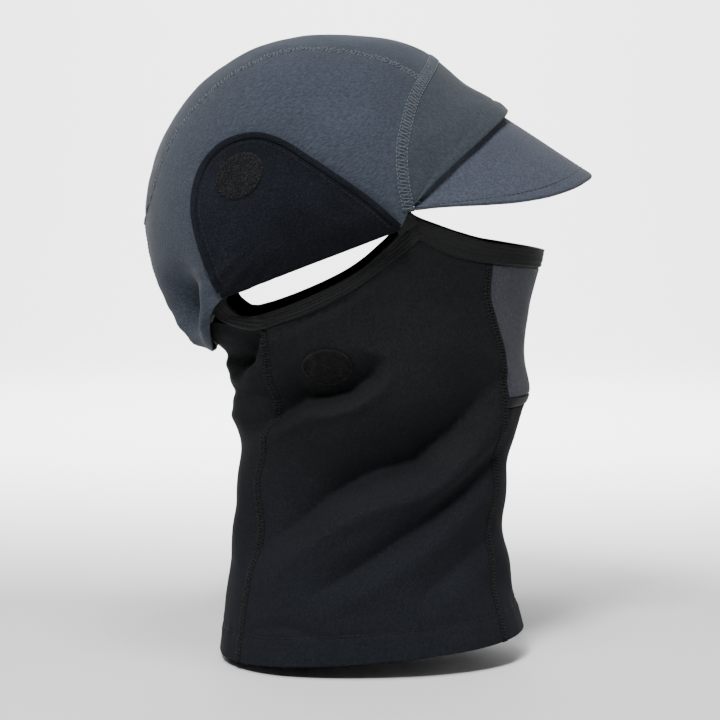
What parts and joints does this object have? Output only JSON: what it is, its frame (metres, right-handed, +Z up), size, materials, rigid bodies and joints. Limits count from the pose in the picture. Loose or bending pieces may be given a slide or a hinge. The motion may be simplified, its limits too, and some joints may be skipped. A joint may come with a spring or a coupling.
{
  "type": "balaclava",
  "caption": "Winter balaclava with a stiffened visor, an open face, a neck and mask tube, and ear flaps that fold up onto the crown or down over the ear openings.",
  "frame": {"origin": "top of the crown, where the wearer's head bears, in the middle plane", "axes": "+X forward out of the face opening, +Y to the wearer's left, +Z up"},
  "size_m": [0.2593, 0.1668, 0.3596],
  "materials": {
    "knit_fabric": "heathered grey-blue knit face of a bonded softshell",
    "fleece": "brushed navy fleece",
    "softshell": "smooth black stretch softshell",
    "mask_fabric": "grey breathable knit",
    "elastic": "folded elastic tape",
    "hook_tape": "moulded hooks on woven tape",
    "loop_tape": "looped pile on woven tape",
    "visor_plastic": "flexible sheet, sewn inside the visor"
  },
  "bodies": {
    "head_piece": {"crown_center_strip": "knit_fabric", "crown_front_panel": "knit_fabric", "crown_lining": "fleece", "forehead_sweatband": "fleece", "visor_top_cover": "knit_fabric", "visor_stiffener": "visor_plastic", "visor_under_cover": "knit_fabric", "mask_nose_panel": "mask_fabric", "mask_chin_band": "elastic", "neck_front_panel": "softshell", "neck_rear_panel": "softshell", "nape_elastic": "elastic", "neck_hem_facing": "softshell", "face_opening_binding": "elastic", "crown_side_panel_right": "knit_fabric", "neck_side_panel_right": "softshell", "ear_opening_binding_right": "elastic", "neck_loop_patch_right": "loop_tape", "crown_side_panel_left": "knit_fabric", "neck_side_panel_left": "softshell", "ear_opening_binding_left": "elastic", "neck_loop_patch_left": "loop_tape"},
    "ear_flap_right": {"ear_flap_right_shell": "knit_fabric", "ear_flap_right_lining": "fleece", "ear_flap_right_binding": "elastic", "ear_flap_right_hook_patch": "hook_tape"},
    "ear_flap_left": {"ear_flap_left_shell": "knit_fabric", "ear_flap_left_lining": "fleece", "ear_flap_left_binding": "elastic", "ear_flap_left_hook_patch": "hook_tape"}
  },
  "joints": [
    {"name": "ear_flap_right_fold", "type": "hinge", "parent": "head_piece", "child": "ear_flap_right", "pos_m": [0.0346, -0.0768, -0.1064], "axis": [0.9309, -0.0758, 0.3572], "range_deg": [0, 175]},
    {"name": "ear_flap_left_fold", "type": "hinge", "parent": "head_piece", "child": "ear_flap_left", "pos_m": [0.0346, 0.0768, -0.1064], "axis": [-0.9309, -0.0758, -0.3572], "range_deg": [0, 175]}
  ]
}
